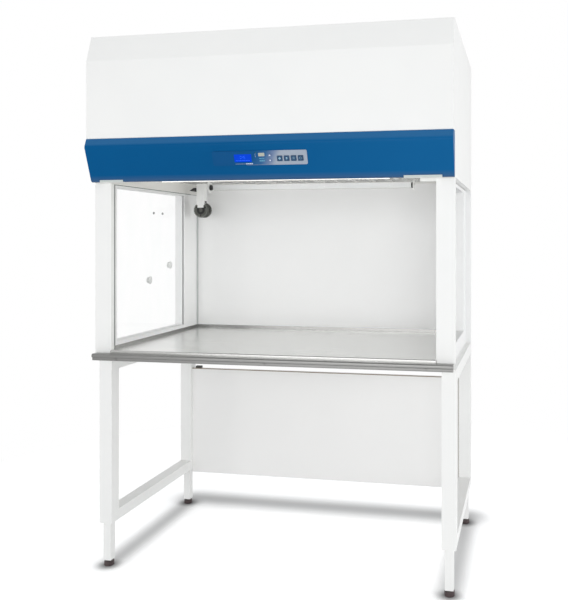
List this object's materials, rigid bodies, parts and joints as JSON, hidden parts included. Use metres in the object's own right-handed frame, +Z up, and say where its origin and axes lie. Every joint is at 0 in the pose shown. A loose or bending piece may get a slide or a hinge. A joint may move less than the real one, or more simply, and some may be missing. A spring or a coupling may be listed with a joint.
{
  "type": "laminar flow hood",
  "caption": "Vertical laminar flow hood on an open stand: folded steel casing, bulging fascia with controls, glass sides, steel worktop, blower and filter inside, telescopic legs.",
  "frame": {"origin": "on the floor, under the middle of the hood's outline", "axes": "+X to the user's right, +Y from the front to the back, +Z up"},
  "size_m": [1.34, 0.81, 2],
  "materials": {
    "white_paint": "semi-gloss powder coat",
    "blue_paint": "semi-gloss powder coat",
    "cream_paint": "satin powder coat",
    "grey_paint": "satin powder coat",
    "panel_laminate": "matte powder coat",
    "galvanised": "galvanised",
    "motor_paint": "matte",
    "filter_paper": "matte fibre",
    "lamp_glass": "polished",
    "panel_film": "satin printed film",
    "display_blue": "glossy",
    "key_dark": "satin",
    "key_light_grey": "satin",
    "circuit_board": "solder mask",
    "black_plastic": "matte",
    "clear_glass": "polished",
    "black_rubber": "matte",
    "grey_plastic": "satin",
    "stainless": "brushed",
    "foot_plastic": "matte"
  },
  "bodies": {
    "cabinet": {"hood_side_left": "white_paint", "hood_side_right": "white_paint", "hood_front": "white_paint", "hood_top": "white_paint", "hood_back": "white_paint", "fascia": "blue_paint", "ceiling_frame": "cream_paint", "intake_grille": "white_paint", "prefilter_pad": "filter_paper", "blower_deck": "galvanised", "blower_scroll": "galvanised", "blower_motor": "motor_paint", "filter_frame": "galvanised", "filter_pack": "filter_paper", "diffuser_screen": "cream_paint", "lamp_tray": "white_paint", "lamp_tubes": "lamp_glass", "uv_tube": "lamp_glass", "uv_brackets": "white_paint", "control_overlay": "panel_film", "display_window": "display_blue", "control_board": "circuit_board", "power_inlet": "black_plastic", "catch_plates": "white_paint", "post_left": "white_paint", "post_right": "white_paint", "side_frame_left": "white_paint", "side_frame_right": "white_paint", "window_left": "clear_glass", "window_right": "clear_glass", "window_seals": "black_rubber", "window_plugs": "grey_plastic", "chamber_back": "grey_paint", "drop_post": "white_paint", "cable_grommet": "black_rubber", "worktop": "stainless", "front_nosing": "stainless", "base_beams": "white_paint", "fasteners": "stainless", "stand_left": "white_paint", "stand_right": "white_paint", "rear_rail": "white_paint", "rear_panel": "panel_laminate", "panel_trim": "black_plastic"},
    "leg_front_left": {"leg_front_left": "white_paint"},
    "leg_front_right": {"leg_front_right": "white_paint"},
    "leg_rear_left": {"leg_rear_left": "white_paint"},
    "leg_rear_right": {"leg_rear_right": "white_paint"},
    "foot_front_left": {"foot_front_left": "foot_plastic"},
    "foot_front_right": {"foot_front_right": "foot_plastic"},
    "foot_rear_left": {"foot_rear_left": "foot_plastic"},
    "foot_rear_right": {"foot_rear_right": "foot_plastic"},
    "key_fan": {"key_fan": "key_dark"},
    "key_light": {"key_light": "key_dark"},
    "key_uv": {"key_uv": "key_dark"},
    "key_outlet": {"key_outlet": "key_dark"},
    "key_up": {"key_up": "key_light_grey"},
    "key_down": {"key_down": "key_light_grey"},
    "blower_wheel": {"blower_wheel": "galvanised"},
    "drop_discs": {"drop_discs": "black_plastic"}
  },
  "joints": [
    {"name": "leg_front_left_slide", "type": "slide", "parent": "cabinet", "child": "leg_front_left", "axis": [0, 0, -1], "range_m": [0, 0.15]},
    {"name": "leg_front_right_slide", "type": "slide", "parent": "cabinet", "child": "leg_front_right", "axis": [0, 0, -1], "range_m": [0, 0.15]},
    {"name": "leg_rear_left_slide", "type": "slide", "parent": "cabinet", "child": "leg_rear_left", "axis": [0, 0, -1], "range_m": [0, 0.15]},
    {"name": "leg_rear_right_slide", "type": "slide", "parent": "cabinet", "child": "leg_rear_right", "axis": [0, 0, -1], "range_m": [0, 0.15]},
    {"name": "foot_front_left_screw", "type": "slide", "parent": "leg_front_left", "child": "foot_front_left", "axis": [0, 0, -1], "range_m": [0, 0.025]},
    {"name": "foot_front_right_screw", "type": "slide", "parent": "leg_front_right", "child": "foot_front_right", "axis": [0, 0, -1], "range_m": [0, 0.025]},
    {"name": "foot_rear_left_screw", "type": "slide", "parent": "leg_rear_left", "child": "foot_rear_left", "axis": [0, 0, -1], "range_m": [0, 0.025]},
    {"name": "foot_rear_right_screw", "type": "slide", "parent": "leg_rear_right", "child": "foot_rear_right", "axis": [0, 0, -1], "range_m": [0, 0.025]},
    {"name": "key_fan_press", "type": "slide", "parent": "cabinet", "child": "key_fan", "axis": [0, 0.94, 0.3411], "range_m": [0, 0.0008], "stiffness_N_per_m": 1200, "springref_m": -0.0005},
    {"name": "key_light_press", "type": "slide", "parent": "cabinet", "child": "key_light", "axis": [0, 0.94, 0.3411], "range_m": [0, 0.0008], "stiffness_N_per_m": 1200, "springref_m": -0.0005},
    {"name": "key_uv_press", "type": "slide", "parent": "cabinet", "child": "key_uv", "axis": [0, 0.94, 0.3411], "range_m": [0, 0.0008], "stiffness_N_per_m": 1200, "springref_m": -0.0005},
    {"name": "key_outlet_press", "type": "slide", "parent": "cabinet", "child": "key_outlet", "axis": [0, 0.94, 0.3411], "range_m": [0, 0.0008], "stiffness_N_per_m": 1200, "springref_m": -0.0005},
    {"name": "key_up_press", "type": "slide", "parent": "cabinet", "child": "key_up", "axis": [0, 0.94, 0.3411], "range_m": [0, 0.0008], "stiffness_N_per_m": 1200, "springref_m": -0.0005},
    {"name": "key_down_press", "type": "slide", "parent": "cabinet", "child": "key_down", "axis": [0, 0.94, 0.3411], "range_m": [0, 0.0008], "stiffness_N_per_m": 1200, "springref_m": -0.0005},
    {"name": "blower_wheel_spin", "type": "hinge", "parent": "cabinet", "child": "blower_wheel", "pos_m": [0, 0, 1.753], "axis": [1, 0, 0], "continuous": true},
    {"name": "drop_discs_turn", "type": "hinge", "parent": "cabinet", "child": "drop_discs", "pos_m": [-0.522, 0.25, 1.361], "axis": [0, 1, 0], "continuous": true}
  ]
}
